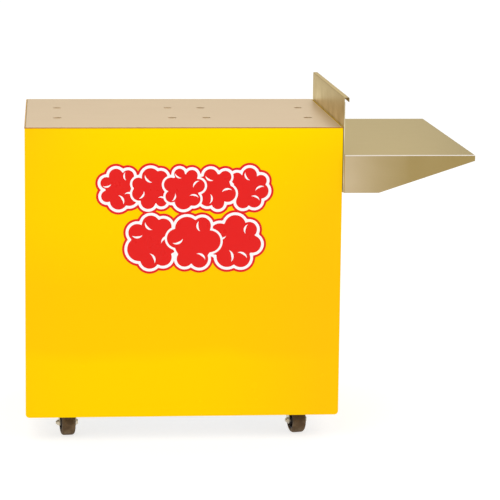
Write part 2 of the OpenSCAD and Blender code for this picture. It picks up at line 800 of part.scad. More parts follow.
front_panel();
left_side_panel();
right_side_panel();
counter_top();
foot_cups();
counter_stiffeners();
back_top_rail();
back_bottom_rail();
bottom_deck();
base_channels();
inner_shelf();
shelf_ledges();
splash_plate();
splash_spacers();
splash_screws();
splash_nuts();
side_shelf();
shelf_doubler();
shelf_stiffener();
shelf_bolts();
shelf_nuts();
front_decal();
left_door();
left_door_liner();
left_door_handle();
left_handle_screws();
left_strike();
right_door();
right_door_liner();
right_door_handle();
right_handle_screws();
right_strike();
hinge_frame_leaves();
hinge_frame_screws();
hinge_pins();
left_door_hinge_leaves();
left_hinge_screws();
right_door_hinge_leaves();
right_hinge_screws();
door_catches();
caster_plates();
caster_kingpins();
caster_bolts();
caster_nuts();
caster_fork(front_left);  // front_left_fork
caster_axle(front_left);  // front_left_axle
caster_hub(front_left);  // front_left_hub
caster_tyre(front_left);  // front_left_tyre
caster_fork(front_right);  // front_right_fork
caster_axle(front_right);  // front_right_axle
caster_hub(front_right);  // front_right_hub
caster_tyre(front_right);  // front_right_tyre
caster_fork(rear_left);  // rear_left_fork
caster_axle(rear_left);  // rear_left_axle
caster_hub(rear_left);  // rear_left_hub
caster_tyre(rear_left);  // rear_left_tyre
caster_fork(rear_right);  // rear_right_fork
caster_axle(rear_right);  // rear_right_axle
caster_hub(rear_right);  // rear_right_hub
caster_tyre(rear_right);  // rear_right_tyre
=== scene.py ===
"""Looks of a rolling base cabinet: painted sheet steel, stainless counter and side shelf, casters.

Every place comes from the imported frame, in metres: +Z is up, the front panel faces -Y, and the
folded shelf hangs on the right, towards +X.
"""
import functools
import itertools
import logging
import math
import random
from dataclasses import dataclass
from enum import Enum
from typing import Any, Iterable, Sequence

import bmesh
import bpy
from mathutils import Matrix, Vector
from mathutils.geometry import delaunay_2d_cdt


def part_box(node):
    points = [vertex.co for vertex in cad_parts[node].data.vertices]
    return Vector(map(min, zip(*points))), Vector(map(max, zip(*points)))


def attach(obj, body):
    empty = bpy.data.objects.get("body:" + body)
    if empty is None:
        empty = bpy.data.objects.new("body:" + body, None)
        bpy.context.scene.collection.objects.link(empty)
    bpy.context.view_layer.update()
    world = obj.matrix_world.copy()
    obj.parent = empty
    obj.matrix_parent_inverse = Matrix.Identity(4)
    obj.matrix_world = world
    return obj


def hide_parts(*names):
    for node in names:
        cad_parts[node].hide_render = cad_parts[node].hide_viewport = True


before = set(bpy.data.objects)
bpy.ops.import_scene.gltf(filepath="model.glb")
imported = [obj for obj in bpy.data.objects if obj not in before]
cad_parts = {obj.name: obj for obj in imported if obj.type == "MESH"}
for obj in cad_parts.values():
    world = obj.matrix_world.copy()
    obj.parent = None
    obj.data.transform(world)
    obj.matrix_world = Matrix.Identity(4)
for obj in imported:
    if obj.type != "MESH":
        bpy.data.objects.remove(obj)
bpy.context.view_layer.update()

LOG = logging.getLogger("cabinet")

MM = 0.001
FULL_TURN = 2 * math.pi

Colour = tuple[float, float, float]
Point2 = tuple[float, float]
Point3 = tuple[float, float, float]
Stops = Sequence[tuple[float, Colour]]


# ---------------------------------------------------------------------------------------------
# Shader maths
# ---------------------------------------------------------------------------------------------
class Value:
    """A number that varies over a surface, held by a shader socket, open to plain arithmetic."""

    def __init__(self, sheet: "NodeSheet", socket: bpy.types.NodeSocket) -> None:
        """Wraps a socket.

        Args:
            sheet: The sheet of nodes that the socket belongs to.
            socket: The output socket that carries the number.
        """
        self.sheet = sheet
        self.socket = socket

    def _maths(self, operation: str, *terms: Any, clamp: bool = False) -> "Value":
        """Adds one Math node.

        Args:
            operation: The Math node's operation.
            *terms: Its numbers or values, in order.
            clamp: Whether the result is held between 0 and 1.

        Returns:
            The result.
        """
        settings = {"operation": operation, "use_clamp": clamp}
        return self.sheet.node("ShaderNodeMath", settings, dict(enumerate(terms)))

    def __add__(self, other: "Value | float") -> "Value":
        """Sum."""
        return self._maths("ADD", self, other)

    def __sub__(self, other: "Value | float") -> "Value":
        """Difference."""
        return self._maths("SUBTRACT", self, other)

    def __mul__(self, other: "Value | float") -> "Value":
        """Product."""
        return self._maths("MULTIPLY", self, other)

    def __truediv__(self, other: "Value | float") -> "Value":
        """Quotient."""
        return self._maths("DIVIDE", self, other)

    def __pow__(self, other: float) -> "Value":
        """Power."""
        return self._maths("POWER", self, other)

    def __rsub__(self, other: float) -> "Value":
        """Difference from a number."""
        return self._maths("SUBTRACT", other, self)

    def __abs__(self) -> "Value":
        """Size without sign."""
        return self._maths("ABSOLUTE", self)

    __radd__ = __add__
    __rmul__ = __mul__

    def ramp(self, low: float, high: float) -> "Value":
        """Rises from 0 at low to 1 at high, and is held there."""
        return self._maths("DIVIDE", self - low, high - low, clamp=True)


class NodeSheet:
    """The node tree of one material or world."""

    def __init__(self, tree: bpy.types.NodeTree) -> None:
        """Empties the tree."""
        self.tree = tree
        tree.nodes.clear()

    def node(self, kind: str, settings: dict[str, Any], sockets: dict[int | str, Any],
             output: int | str = 0) -> Value:
        """Adds any node.

        Args:
            kind: The node's type.
            settings: Its properties; "stops" fills a colour ramp.
            sockets: Values, links or constants for its inputs.
            output: The output that is wanted.

        Returns:
            That output.
        """
        made = self.tree.nodes.new(kind)
        for name, setting in settings.items():
            if name == "stops":
                self._fill_ramp(made.color_ramp, setting)
            else:
                setattr(made, name, setting)
        for key, given in sockets.items():
            target = made.inputs[key]
            if isinstance(given, Value):
                self.tree.links.new(given.socket, target)
            elif target.type == "RGBA" and len(given) == 3:
                target.default_value = (*given, 1.0)
            else:
                target.default_value = given
        return Value(self, made.outputs[output]) if made.outputs else None

    @staticmethod
    def _fill_ramp(ramp: bpy.types.ColorRamp, stops: Stops) -> None:
        """Sets a colour ramp's stops.

        Args:
            ramp: The ramp, which has two stops at first.
            stops: Place and colour of each stop, in order.
        """
        while len(ramp.elements) < len(stops):
            ramp.elements.new(1.0)
        for element, (place, colour) in zip(ramp.elements, stops):
            element.position = place
            element.color = (*colour, 1.0)

    def mix(self, factor: Value | float, a: Value | Colour, b: Value | Colour,
            blend: str = "MIX") -> Value:
        """Blends two colours.

        Args:
            factor: 0 for a, 1 for b.
            a: First colour.
            b: Second colour.
            blend: The way that b goes over a.

        Returns:
            The blended colour.
        """
        settings = {"data_type": "RGBA", "blend_type": blend}
        return self.node("ShaderNodeMix", settings, {0: factor, 6: a, 7: b}, 2)

    def place(self) -> Value:
        """The point on the piece, in metres."""
        return self.node("ShaderNodeTexCoord", {}, {}, "Object")

    def axis(self, name: str) -> Value:
        """One coordinate of the point on the piece."""
        return self.node("ShaderNodeSeparateXYZ", {}, {0: self.place()}, name)

    def stretched(self, scale: Sequence[float]) -> Value:
        """The point on the piece, scaled along each axis."""
        return self.node("ShaderNodeMapping", {}, {"Vector": self.place(), "Scale": scale})

    def noise(self, scale: float, detail: float = 2.0,
              stretch: Sequence[float] = (1, 1, 1)) -> Value:
        """Soft noise between 0 and 1.

        Args:
            scale: Waves in a metre.
            detail: How many finer octaves it has.
            stretch: Extra scale along X, Y and Z.

        Returns:
            The noise.
        """
        sockets = {"Vector": self.stretched(stretch), "Scale": scale, "Detail": detail}
        return self.node("ShaderNodeTexNoise", {}, sockets, "Fac")

    def bump(self, height: Value, depth: float, strength: float = 1.0) -> Value:
        """Turns a height between 0 and 1 into a normal; depth is in metres."""
        sockets = {"Height": height, "Distance": depth, "Strength": strength}
        return self.node("ShaderNodeBump", {}, sockets, "Normal")


class Grain(Enum):
    """Direction in which a sheet was brushed, as extra noise scale along X, Y and Z."""

    ALONG_X = (0.02, 1.0, 1.0)
    ALONG_Y = (1.0, 0.02, 1.0)
    ALONG_Z = (1.0, 1.0, 0.02)


# ---------------------------------------------------------------------------------------------
# Finishes
# ---------------------------------------------------------------------------------------------
@dataclass(frozen=True)
class Finish:
    """A plain finish: one colour with soft variation in tone, gloss and surface.

    Attributes:
        name: The material's name.
        colour: Its mean colour.
        roughness: Its mean roughness.
        metallic: 1 for bare metal.
        specular: Strength of the reflection of a non-metal.
        tint: Colour of the reflection, towards the edge on a metal.
        variation: How far the tone drifts, as a share of the colour.
        wave: Waves of that drift in a metre.
        relief: Depth of the surface's fine bumps, in metres.
        relief_scale: Waves of those bumps in a metre.
        glow: Light that it gives off by itself.
    """

    name: str
    colour: Colour
    roughness: float = 0.5
    metallic: float = 0.0
    specular: float = 0.5
    tint: Colour = (1.0, 1.0, 1.0)
    variation: float = 0.12
    wave: float = 14.0
    relief: float = 0.05 * MM
    relief_scale: float = 900.0
    glow: float = 0.0

    def tone(self, sheet: NodeSheet) -> Value:
        """The colour over the surface."""
        low, high = 1 - self.variation, 1 + self.variation
        return sheet.mix(sheet.noise(self.wave, 3.0), shade(self.colour, low), shade(self.colour, high))

    def gloss(self, sheet: NodeSheet) -> Value:
        """The roughness over the surface."""
        return sheet.noise(self.wave * 2, 3.0) * 0.16 + (self.roughness - 0.08)

    def surface(self, sheet: NodeSheet) -> Value:
        """The normal over the surface."""
        return sheet.bump(sheet.noise(self.relief_scale, 2.0), self.relief)

    @functools.cache
    def material(self) -> bpy.types.Material:
        """Makes the material once.

        Returns:
            The material.
        """
        material = bpy.data.materials.new(self.name)
        material.use_nodes = True
        sheet = NodeSheet(material.node_tree)
        sockets = {
            "Base Color": self.tone(sheet),
            "Roughness": self.gloss(sheet),
            "Metallic": self.metallic,
            "Specular IOR Level": self.specular,
            "Specular Tint": self.tint,
            "Normal": self.surface(sheet),
            "Emission Color": (1.0, 1.0, 1.0),
            "Emission Strength": self.glow,
        }
        shader = sheet.node("ShaderNodeBsdfPrincipled", {}, sockets)
        sheet.node("ShaderNodeOutputMaterial", {}, {"Surface": shader})
        return material


@dataclass(frozen=True)
class Paint(Finish):
    """Baked yellow enamel with painted light and shade: lemon near the top, orange shade towards the
    sides.

    Attributes:
        shade_rungs: Height in metres and colour, from the floor up; painted light and shade by height.
        side_shade: Orange colour of the painted shade towards the sides.
        middle: X of the cabinet's middle.
        half: Half of the cabinet's width.
        lean: How far the middle moves to the right near the top.
        lean_from: Height where that move starts, as a share of the top.
        reach: Distances where the painted side shade starts and is whole, as shares of the half width.
        depth: How much of the painted side shade shows.
    """

    shade_rungs: tuple[tuple[float, Colour], ...] = ()
    side_shade: Colour = (0.95, 0.50, 0.005)
    middle: float = 0.0
    half: float = 0.5
    lean: float = 0.20
    lean_from: float = 0.72
    reach: Point2 = (0.25, 1.15)
    depth: float = 0.68

    def tone(self, sheet: NodeSheet) -> Value:
        """The enamel's colour with painted light and shade, by height and by distance from the middle.

        Args:
            sheet: The material's sheet of nodes.

        Returns:
            The colour.
        """
        top = self.shade_rungs[-1][0]
        stops = [(height / top, colour) for height, colour in self.shade_rungs]
        wander = (sheet.noise(3.0, 2.0) - 0.5) * 0.10
        height = sheet.axis("Z") / top + wander
        # Painted light and shade by height.
        height_shade = sheet.node("ShaderNodeValToRGB", {"stops": stops}, {0: height}, "Color")
        lean = sheet.axis("Z").ramp(self.lean_from * top, top) * self.lean
        # Painted shade towards the sides.
        side = (abs(sheet.axis("X") - lean - self.middle) / self.half).ramp(*self.reach) ** 1.6
        return sheet.mix(side * self.depth, height_shade, self.side_shade)

    def surface(self, sheet: NodeSheet) -> Value:
        """Orange peel."""
        return sheet.bump(sheet.noise(self.relief_scale, 1.0), self.relief, 0.35)


@dataclass(frozen=True)
class BrushedSteel(Finish):
    """Stainless sheet with a brushed grain and cloudy reflections painted into its colour.

    Attributes:
        grain: Direction of the brushing.
        reflection_patch_colour: Darker colour of the painted reflection patches.
        reflection_patch_strength: How strongly the painted reflection patches show.
    """

    grain: Grain = Grain.ALONG_X
    reflection_patch_colour: Colour = (0.45, 0.36, 0.22)
    reflection_patch_strength: float = 0.35

    def tone(self, sheet: NodeSheet) -> Value:
        """Sheet colour with painted reflection patches and faint streaks.

        Args:
            sheet: The material's sheet of nodes.

        Returns:
            The colour.
        """
        # Painted reflection: darker cloudy patches in the sheet's colour.
        reflection_patches = sheet.noise(self.wave, 2.0).ramp(0.35, 0.75) * self.reflection_patch_strength
        base = sheet.mix(reflection_patches, self.colour, self.reflection_patch_colour)
        streaks = sheet.noise(700.0, 2.0, self.grain.value)
        return sheet.mix(streaks * 0.16, base, shade(self.colour, 0.55))

    def gloss(self, sheet: NodeSheet) -> Value:
        """Roughness with streaks along the grain."""
        return sheet.noise(500.0, 2.0, self.grain.value) * 0.14 + (self.roughness - 0.07)

    def surface(self, sheet: NodeSheet) -> Value:
        """Fine scratches along the grain."""
        return sheet.bump(sheet.noise(1400.0, 1.0, self.grain.value), 0.02 * MM, 0.5)


@dataclass(frozen=True)
class ReflectionGradedSteel(BrushedSteel):
    """Brushed steel with a painted reflection: its tone drifts from one end of the sheet to the other.

    Attributes:
        along: The axis that it drifts along.
        start: Place on that axis where the first colour is whole.
        end: Place where the second colour is whole.
        far: The second colour, a darker painted reflection.
    """

    along: str = "X"
    start: float = 0.0
    end: float = 1.0
    far: Colour = (0.4, 0.3, 0.15)

    def tone(self, sheet: NodeSheet) -> Value:
        """Sheet colour along the axis, drifting to the painted reflection colour, with cloudy patches.

        Args:
            sheet: The material's sheet of nodes.

        Returns:
            The colour.
        """
        drift = (sheet.noise(6.0, 2.0) - 0.5) * 0.5
        # Painted reflection: the tone shifts to the darker colour along the axis.
        share = (sheet.axis(self.along).ramp(self.start, self.end) + drift).ramp(0.0, 1.0)
        return sheet.mix(share, super().tone(sheet), self.far)


@dataclass(frozen=True)
class ShelfSteel(ReflectionGradedSteel):
    """The shelf's steel: even face, a painted highlight on the front fold, gussets with a painted
    reflection that darkens towards their tips.

    Attributes:
        face: The face's colour.
        bend_highlight: Colour of the painted highlight on the front fold.
        top: Height of the face.
        front: Y of the gusset's outer side.
        bend_size: Radius of the fold.
    """

    face: Colour = (0.5, 0.4, 0.2)
    bend_highlight: Colour = (1.0, 0.93, 0.86)
    top: float = 0.0
    front: float = 0.0
    bend_size: float = 3 * MM

    def tone(self, sheet: NodeSheet) -> Value:
        """Gusset colour below the fold, a painted highlight on the fold, the face's colour behind it.

        Args:
            sheet: The material's sheet of nodes.

        Returns:
            The colour.
        """
        half = self.bend_size / 2
        # Painted highlight: the front fold is lighter than the steel below it.
        above = sheet.axis("Z").ramp(self.top - self.bend_size, self.top - half)
        behind = sheet.axis("Y").ramp(self.front + half, self.front + self.bend_size)
        rim = sheet.mix(above, super().tone(sheet), self.bend_highlight)
        on_top = sheet.axis("Z").ramp(self.top - half, self.top - half / 2)
        return sheet.mix(behind * on_top, rim, self.face)


@dataclass(frozen=True)
class Galvanised(Finish):
    """Hot-dip zinc with spangle."""

    def tone(self, sheet: NodeSheet) -> Value:
        """Spangle crystals of differing tone.

        Args:
            sheet: The material's sheet of nodes.

        Returns:
            The colour.
        """
        sockets = {"Vector": sheet.place(), "Scale": 90.0}
        crystals = sheet.node("ShaderNodeTexVoronoi", {}, sockets, "Color")
        grey = sheet.node("ShaderNodeSeparateColor", {}, {0: crystals}, 0)
        return sheet.mix(grey, shade(self.colour, 0.82), shade(self.colour, 1.12))


@dataclass(frozen=True)
class Rubber(Finish):
    """Worn wheel tread with dust in its pores.

    Attributes:
        dust: The dust's colour.
    """

    dust: Colour = (0.26, 0.18, 0.10)

    def tone(self, sheet: NodeSheet) -> Value:
        """Rubber with dusty scuffs."""
        scuffs = sheet.noise(60.0, 5.0).ramp(0.45, 0.75)
        return sheet.mix(scuffs * 0.5, self.colour, self.dust)


def shade(colour: Colour, factor: float) -> Colour:
    """The colour, darker or lighter by a factor, held below 1."""
    return tuple(min(channel * factor, 1.0) for channel in colour)


# ---------------------------------------------------------------------------------------------
# Meshes
# ---------------------------------------------------------------------------------------------
def make_piece(name: str, mesh: bmesh.types.BMesh, finish: Finish, body: str,
               smooth_below: float = 40.0) -> bpy.types.Object:
    """Turns a mesh into a piece that rides on a body.

    Args:
        name: The piece's name.
        mesh: Its mesh, in the shared frame; it is used up.
        finish: Its finish.
        body: The body that it rides on.
        smooth_below: Edges below this angle, in degrees, are smooth.

    Returns:
        The piece.
    """
    bmesh.ops.recalc_face_normals(mesh, faces=mesh.faces)
    data = bpy.data.meshes.new(name)
    limit = math.radians(smooth_below)
    for edge in mesh.edges:
        edge.smooth = edge.is_manifold and edge.calc_face_angle(0.0) < limit
    for face in mesh.faces:
        face.smooth = True
    mesh.to_mesh(data)
    mesh.free()
    data.materials.append(finish.material())
    piece = bpy.data.objects.new(name, data)
    bpy.context.scene.collection.objects.link(piece)
    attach(piece, body)
    return piece


def dress(node: str, finish: Finish) -> None:
    """Gives a CAD node its finish.

    Args:
        node: The node's name.
        finish: Its finish.
    """
    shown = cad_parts[node]
    if not shown.material_slots:
        shown.data.materials.append(finish.material())
    for held in shown.material_slots:
        held.material = finish.material()


def loft(mesh: bmesh.types.BMesh, rings: Sequence[Sequence[bmesh.types.BMVert]],
         closed: bool) -> None:
    """Skins a row of rings.

    Args:
        mesh: The mesh that the rings belong to.
        rings: The rings, each with as many points.
        closed: Whether each ring closes on itself; the two end rings are then capped.
    """
    count = len(rings[0])
    for ring, following in zip(rings, rings[1:]):
        for i in range(count if closed else count - 1):
            j = (i + 1) % count
            mesh.faces.new((ring[i], ring[j], following[j], following[i]))
    if closed:
        mesh.faces.new(list(reversed(rings[0])))
        mesh.faces.new(list(rings[-1]))


def arc(start: float, end: float, steps: int) -> list[float]:
    """Evenly spaced angles from start to end, both included."""
    return [start + (end - start) * step / steps for step in range(steps + 1)]


def crescent(x: float, z: float, radius: float, thickness: float, aim: float,
             spread: float) -> list[Point2]:
    """A crescent with pointed ends.

    Args:
        x: Middle of its arc along X.
        z: Middle of its arc in height.
        radius: Radius of its outer arc.
        thickness: Its thickness in the middle.
        aim: Direction that its back faces, in radians.
        spread: Half of the angle that it spans, in radians.

    Returns:
        Points in X and Z.
    """
    angles = arc(-spread, spread, 12)
    outer = [(radius, a) for a in angles]
    inner = [(radius - thickness * math.cos(a / spread * math.pi / 2), a)
             for a in reversed(angles[1:-1])]
    return [(x + r * math.cos(aim + a), z + r * math.sin(aim + a)) for r, a in outer + inner]


# Painted light and shade of the enamel by height: lemon near the top, darker at mid-height.
ENAMEL_SHADE_RUNGS = (
    (0.000, (0.960, 0.618, 0.001)),
    (0.245, (0.960, 0.620, 0.001)),
    (0.285, (0.960, 0.565, 0.002)),
    (0.465, (0.960, 0.555, 0.002)),
    (0.625, (0.955, 0.605, 0.001)),
    (0.835, (0.960, 0.640, 0.000)),
    (0.927, (0.955, 0.690, 0.000)),
)
# The cloudy patches in the steels' colour are painted reflections.
COUNTER_STEEL = BrushedSteel(
    "counter_steel", (0.655, 0.545, 0.402), tint=(0.85, 0.745, 0.61), roughness=0.36, metallic=1.0,
    wave=5.0, reflection_patch_strength=0.15, reflection_patch_colour=(0.56, 0.46, 0.33), grain=Grain.ALONG_X)
CUP_STEEL = BrushedSteel(
    "cup_steel", (0.86, 0.70, 0.45), roughness=0.45, metallic=1.0, grain=Grain.ALONG_X)
SPANGLE = Galvanised("spangled_zinc", (0.55, 0.56, 0.57), roughness=0.42, metallic=1.0)
ZINC = Finish(
    "zinc_plate", (0.62, 0.56, 0.44), roughness=0.30, metallic=1.0, variation=0.15, wave=60.0)
CHROME = Finish("bright_chrome", (0.80, 0.80, 0.82), roughness=0.12, metallic=1.0, variation=0.03)
TYRE_RUBBER = Rubber("wheel_rubber", (0.085, 0.050, 0.021), roughness=0.6, specular=0.2, wave=40.0)
HUB_PLASTIC = Finish("hub_plastic", (0.05, 0.042, 0.036), roughness=0.5, variation=0.2)
VINYL_RED = Finish(
    "red_vinyl", (0.75, 0.010, 0.008), roughness=0.3, specular=0.15, variation=0.03,
    relief=0.01 * MM)
VINYL_WHITE = Finish(
    "white_vinyl", (0.92, 0.90, 0.90), roughness=0.3, specular=0.25, variation=0.02,
    relief=0.01 * MM)
WHITE_PLASTIC = Finish("white_plastic", (0.82, 0.82, 0.79), roughness=0.45, variation=0.04)
# Painted shade: a dark bead that stands in for the shadow line where the counter meets the shell.
SHADOW_LINE_BEAD = Finish("shadow_bead_brown", (0.36, 0.085, 0.03), roughness=0.55, variation=0.15)


# ---------------------------------------------------------------------------------------------
# Surroundings
# ---------------------------------------------------------------------------------------------
@dataclass
class Viewpoint:
    """The camera, a few steps back at eye height, turned a little to the right.

    Attributes:
        yaw: Turn to the right, in degrees.
        pitch: Downward tilt, in degrees.
        roll: Tilt of the frame, in degrees.
        lens: Focal length for a 36 mm frame, in millimetres.
        shift: Sideways and upward shift of the frame.
        back: Distance in front of the front panel.
        aside: Distance to the right of the cabinet's left face.
        above: Height above the counter.
    """

    yaw: float = 4.288
    pitch: float = 8.505
    roll: float = 0.471
    lens: float = 151.46
    shift: Point2 = (0.098, -0.160)
    back: float = 5.960
    aside: float = 0.058
    above: float = 0.770

    def build(self) -> None:
        """Makes the camera and hands it to the scene."""
        panel_low, panel_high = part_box("front_panel")
        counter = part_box("counter_top")[1].z
        data = bpy.data.cameras.new("camera")
        data.lens = self.lens
        data.shift_x, data.shift_y = self.shift
        camera = bpy.data.objects.new("camera", data)
        upright = Matrix.Rotation(math.radians(90 - self.pitch), 4, "X")
        turned = Matrix.Rotation(-math.radians(self.yaw), 4, "Z")
        tilted = Matrix.Rotation(math.radians(self.roll), 4, "Z")
        place = Vector((panel_low.x + self.aside, panel_low.y - self.back, counter + self.above))
        camera.matrix_world = Matrix.Translation(place) @ turned @ upright @ tilted
        bpy.context.scene.collection.objects.link(camera)
        bpy.context.scene.camera = camera


@dataclass
class Studio:
    """Pale floor, white surroundings and broad soft lights.

    Attributes:
        floor_radius: Radius of the floor.
        floor_colour: Its colour.
        floor_glow: Its own faint light, which keeps the shadows pale.
        lamps: Place, aim, width and power of each light.
    """

    floor_radius: float = 60.0
    floor_colour: Colour = (0.42, 0.42, 0.42)
    floor_glow: float = 0.72
    lamps: tuple[tuple[Point3, Point3, float, float], ...] = (
        ((-2.2, -3.6, 3.4), (-0.2, 0.0, 0.6), 2.6, 40.0),
        ((3.2, -2.6, 3.0), (0.2, 0.0, 0.6), 2.2, 21.0),
        ((0.0, 3.4, 3.2), (0.0, 0.0, 0.7), 3.0, 24.0),
    )

    def build(self) -> None:
        """Lays the floor, hangs the lights and sets the surroundings."""
        self._lay_floor()
        for number, lamp in enumerate(self.lamps):
            self._hang_lamp(f"softbox_{number}", *lamp)
        self._surround()

    def _lay_floor(self) -> None:
        """Lays one broad disc."""
        mesh = bmesh.new()
        bmesh.ops.create_circle(mesh, cap_ends=True, segments=96, radius=self.floor_radius)
        data = bpy.data.meshes.new("floor")
        mesh.to_mesh(data)
        mesh.free()
        finish = Finish("floor_paint", self.floor_colour, roughness=0.9, specular=0.0,
                        variation=0.01, relief=0.0, glow=self.floor_glow)
        data.materials.append(finish.material())
        floor = bpy.data.objects.new("floor", data)
        bpy.context.scene.collection.objects.link(floor)

    @staticmethod
    def _hang_lamp(name: str, place: Point3, aim: Point3, width: float, power: float) -> None:
        """Hangs one square softbox.

        Args:
            name: The light's name.
            place: Where it hangs.
            aim: The point that it faces.
            width: Width of its face.
            power: Its power, in watts.
        """
        data = bpy.data.lights.new(name, "AREA")
        data.shape = "SQUARE"
        data.size = width
        data.energy = power
        lamp = bpy.data.objects.new(name, data)
        lamp.location = place
        lamp.rotation_euler = (Vector(aim) - Vector(place)).to_track_quat("-Z", "Y").to_euler()
        bpy.context.scene.collection.objects.link(lamp)

    @staticmethod
    def _surround() -> None:
        """White to the eye; to the surfaces, brighter overhead than at the horizon."""
        world = bpy.data.worlds.new("surroundings")
        world.use_nodes = True
        bpy.context.scene.world = world
        sheet = NodeSheet(world.node_tree)
        direction = sheet.node("ShaderNodeTexCoord", {}, {}, "Generated")
        height = sheet.node("ShaderNodeSeparateXYZ", {}, {0: direction}, "Z")
        stops = [(0.0, (0.62, 0.62, 0.62)), (0.35, (0.70, 0.70, 0.70)), (1.0, (0.90, 0.90, 0.90))]
        sky = sheet.node("ShaderNodeValToRGB", {"stops": stops}, {0: height}, "Color")
        seen = sheet.node("ShaderNodeLightPath", {}, {}, "Is Camera Ray")
        colour = sheet.mix(seen, sky, (1.0, 1.0, 1.0))
        background = sheet.node("ShaderNodeBackground", {}, {"Color": colour})
        sheet.node("ShaderNodeOutputWorld", {}, {"Surface": background})
        bpy.context.scene.view_settings.view_transform = "Standard"


# ---------------------------------------------------------------------------------------------
# The cabinet
# ---------------------------------------------------------------------------------------------
@dataclass
class Cabinet:
    """Painted shell, counter, floor, storage shelf and a dark bead round the counter, painted shade for
    the joint's shadow line.

    Attributes:
        bead_height: Height of the bead.
        bead_bulge: How far the bead stands out.
        bead_drop: How far its middle lies below the counter.
        bead_inset: How far its back reaches into the joint.
        corner: Radius of the counter's rear left corner.
        stop: How far short of the right side it ends.
        off_centre: How far left of the panel's middle the painted side shade is least.
    """

    bead_height: float = 2.4 * MM
    bead_bulge: float = 1.1 * MM
    bead_drop: float = 1.6 * MM
    bead_inset: float = 0.7 * MM
    corner: float = 12 * MM
    stop: float = 20 * MM
    off_centre: float = 120 * MM

    def enamel(self) -> Paint:
        """The enamel of every painted sheet.

        Returns:
            The finish.
        """
        low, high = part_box("front_panel")
        return Paint(
            "yellow_enamel", (0.96, 0.64, 0.002), roughness=0.24, specular=0.35,
            tint=(1.0, 0.72, 0.0), relief=0.03 * MM, relief_scale=420.0, shade_rungs=ENAMEL_SHADE_RUNGS,
            middle=(low.x + high.x) / 2 - self.off_centre, half=(high.x - low.x) / 2)

    def build(self) -> None:
        """Dresses the shell and lays the bead."""
        enamel = self.enamel()
        for node in ("front_panel", "left_side_panel", "right_side_panel", "back_top_rail",
                     "back_bottom_rail"):
            dress(node, enamel)
        dress("counter_top", COUNTER_STEEL)
        dress("foot_cups", CUP_STEEL)
        for node in ("counter_stiffeners", "bottom_deck", "base_channels", "inner_shelf",
                     "shelf_ledges"):
            dress(node, SPANGLE)
        self._lay_bead()

    def _lay_bead(self) -> None:
        """Dark bead along the joint between the counter and the shell's upper edge, painted shade for
        the shadow line there.
        """
        low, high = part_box("front_panel")
        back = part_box("back_top_rail")[1].y
        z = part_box("counter_top")[1].z - self.bead_drop
        bends = [(math.cos(a), math.sin(a)) for a in arc(0.0, math.pi / 2, 8)]
        track = [(high.x, low.y), (low.x, low.y)]
        track += [(low.x + self.corner - self.corner * u, back - self.corner + self.corner * v)
                  for u, v in bends]
        track += [(high.x - self.stop, back)]
        outward = [(0, -1), (-1, -1), *((-u, v) for u, v in bends), (0, 1)]
        mesh = bmesh.new()
        rings = []
        for (x, y), (nx, ny) in zip(track, outward):
            ring = []
            for a in arc(-math.pi / 2, math.pi / 2, 6):
                inset = self.bead_inset if abs(math.cos(a)) < 0.01 else 0.0
                out = self.bead_bulge * math.cos(a) - inset
                up = self.bead_height / 2 * math.sin(a)
                ring.append(mesh.verts.new((x + nx * out, y + ny * out, z + up)))
            rings.append(ring)
        loft(mesh, rings, closed=True)
        make_piece("counter_shadow_bead", mesh, SHADOW_LINE_BEAD, "cart")


class Ink(Enum):
    """Inks of the decal, with the name of the piece that each makes."""

    KEYLINE = "decal_keyline"
    WHITE = "decal_white"
    RED = "decal_red"


@dataclass(frozen=True)
class Lobe:
    """One round lobe of a puff.

    Attributes:
        reach: Distance of its middle from the puff's.
        aim: Direction of its middle, in radians.
        radius: Its radius.
    """

    reach: float
    aim: float
    radius: float

    def edge(self, angle: float, grow: float) -> float:
        """How far the lobe reaches from the puff's middle.

        Args:
            angle: Direction, in radians.
            grow: How far the lobe's edge is moved out.

        Returns:
            The distance, or 0 where the lobe doesn't lie in that direction.
        """
        radius = self.radius + grow
        across = self.reach * math.sin(angle - self.aim)
        if radius <= abs(across):
            return 0.0
        along = self.reach * math.cos(angle - self.aim)
        return along + math.sqrt(radius * radius - across * across)


@dataclass(frozen=True)
class Puff:
    """One printed puff of the decal.

    Attributes:
        x: Place of its middle along X.
        z: Height of its middle.
        lobes: Its core and the lobes round it.
    """

    x: float
    z: float
    lobes: tuple[Lobe, ...]

    @staticmethod
    def popped(x: float, z: float, radius: float, count: int, draw: random.Random) -> "Puff":
        """Grows a puff of uneven lobes.

        Args:
            x: Place of its middle along X.
            z: Height of its middle.
            radius: How far its largest lobe may reach.
            count: How many lobes it has.
            draw: Source of its unevenness.

        Returns:
            The puff.
        """
        turn = draw.uniform(0, FULL_TURN)
        lobes = []
        for number in range(count):
            size = draw.uniform(0.40, 0.54) * radius
            aim = turn + FULL_TURN * (number + draw.uniform(-0.15, 0.15)) / count
            lobes.append(Lobe(radius - size, aim, size))
        return Puff(x, z, (Lobe(0.0, 0.0, 0.76 * radius), *lobes))

    def outline(self, grow: float, steps: int = 120) -> list[Point2]:
        """The puff's edge.

        Args:
            grow: How far the edge is moved out.
            steps: How many points it has.

        Returns:
            Points in X and Z.
        """
        points = []
        for step in range(steps):
            angle = FULL_TURN * step / steps
            reach = max(lobe.edge(angle, grow) for lobe in self.lobes)
            points.append((self.x + reach * math.cos(angle), self.z + reach * math.sin(angle)))
        return points

    def curls(self) -> Iterable[list[Point2]]:
        """Short crescents inside every other outer lobe.

        Yields:
            The outline of each crescent.
        """
        for lobe in self.lobes[1::2]:
            x = self.x + lobe.reach * math.cos(lobe.aim)
            z = self.z + lobe.reach * math.sin(lobe.aim)
            yield crescent(x, z, 0.42 * lobe.radius, 0.15 * lobe.radius, lobe.aim + 2.2, 1.1)


